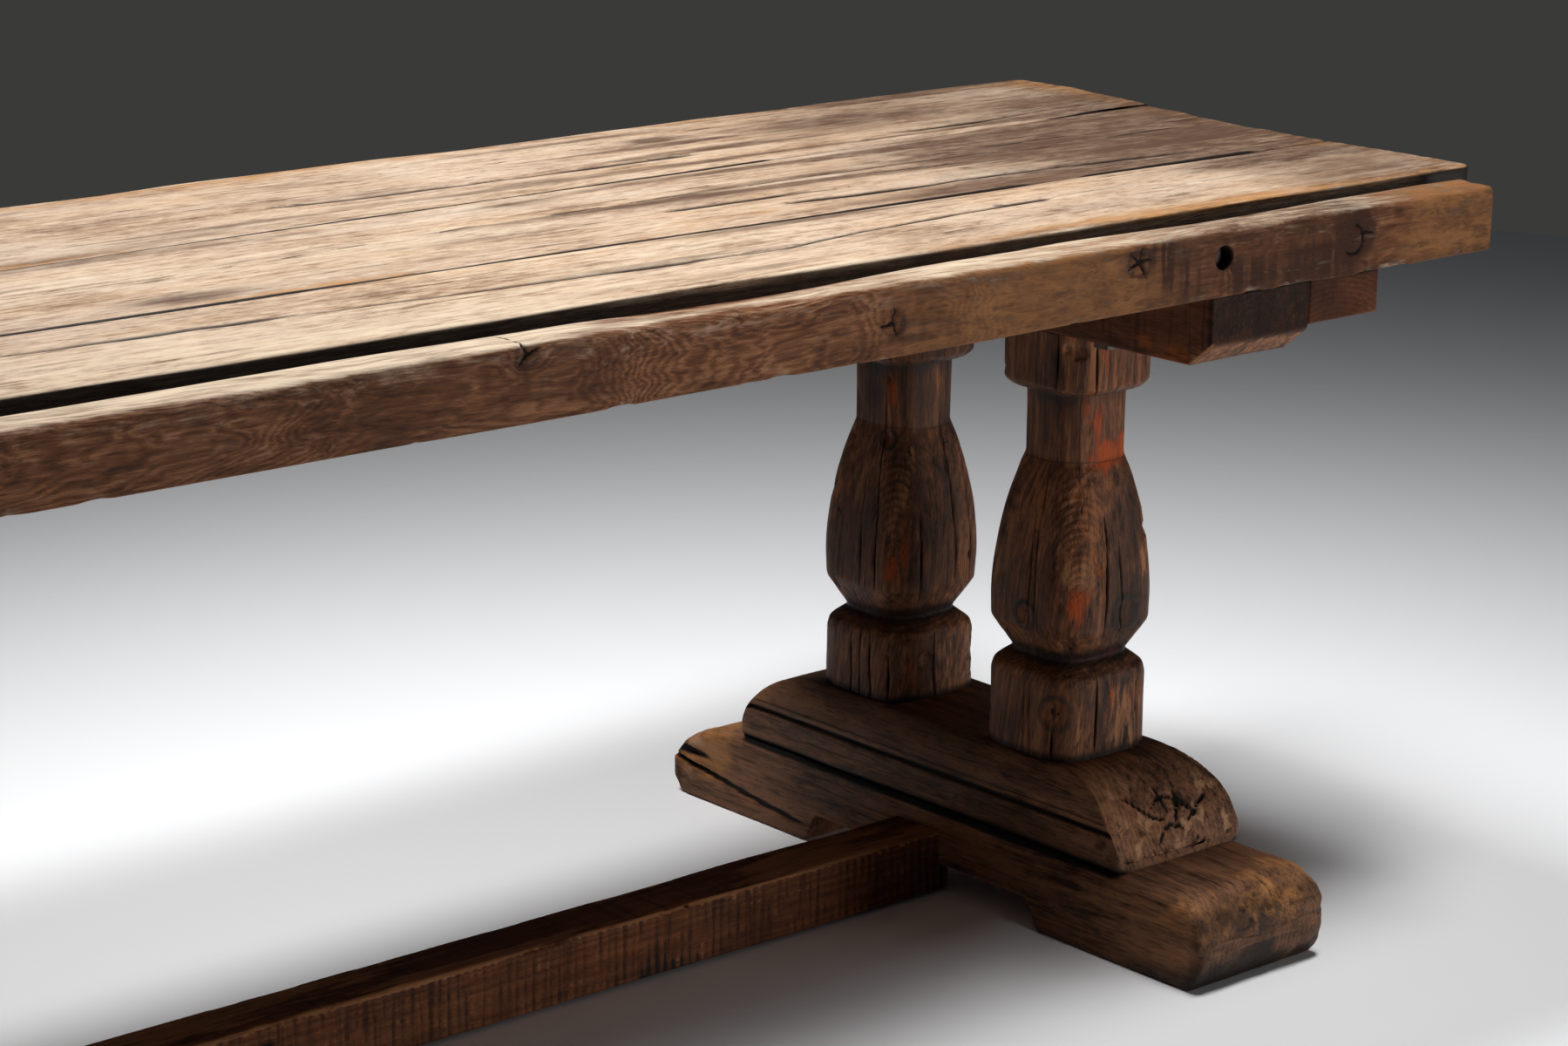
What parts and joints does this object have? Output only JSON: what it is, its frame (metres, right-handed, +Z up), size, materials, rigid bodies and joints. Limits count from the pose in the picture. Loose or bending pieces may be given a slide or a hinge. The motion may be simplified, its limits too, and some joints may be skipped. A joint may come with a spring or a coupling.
{
  "type": "refectory table",
  "caption": "Long heavy oak refectory table: thick worn planks and a separate edge beam on trestles with faceted baluster legs, sledge feet and a low stretcher.",
  "frame": {"origin": "on the floor, midway along the top and midway between the noses of the sledge feet", "axes": "+X along the table, +Y from the edge beam's side to the far side, +Z up"},
  "size_m": [3, 0.84, 0.78],
  "materials": {
    "plank_oak": "worn, pale, dry-waxed oak",
    "edge_oak": "worn brown oak, pale arrises",
    "trestle_oak": "dark aged oak",
    "leg_oak": "dark stained oak, low sheen",
    "foot_oak": "dark oak, worn noses",
    "inner_oak": "bare oak",
    "spike_iron": "dull dark iron"
  },
  "bodies": {
    "root": {"edge_beam": "edge_oak", "edge_beam_bolts": "spike_iron", "edge_beam_washers": "spike_iron", "far_joint_tongues": "inner_oak", "far_plank": "plank_oak", "left_batten": "trestle_oak", "left_batten_spikes": "spike_iron", "left_bearer": "trestle_oak", "left_bearer_spikes": "spike_iron", "left_far_leg": "leg_oak", "left_foot_tongues": "inner_oak", "left_leg_wedges": "inner_oak", "left_lower_foot": "foot_oak", "left_near_leg": "leg_oak", "left_upper_foot": "foot_oak", "middle_plank": "plank_oak", "near_joint_tongues": "inner_oak", "near_plank": "plank_oak", "right_batten": "trestle_oak", "right_batten_spikes": "spike_iron", "right_bearer": "trestle_oak", "right_bearer_spikes": "spike_iron", "right_far_leg": "leg_oak", "right_foot_tongues": "inner_oak", "right_leg_wedges": "inner_oak", "right_lower_foot": "foot_oak", "right_near_leg": "leg_oak", "right_upper_foot": "foot_oak", "stretcher": "trestle_oak", "stretcher_pegs": "inner_oak"}
  },
  "joints": []
}
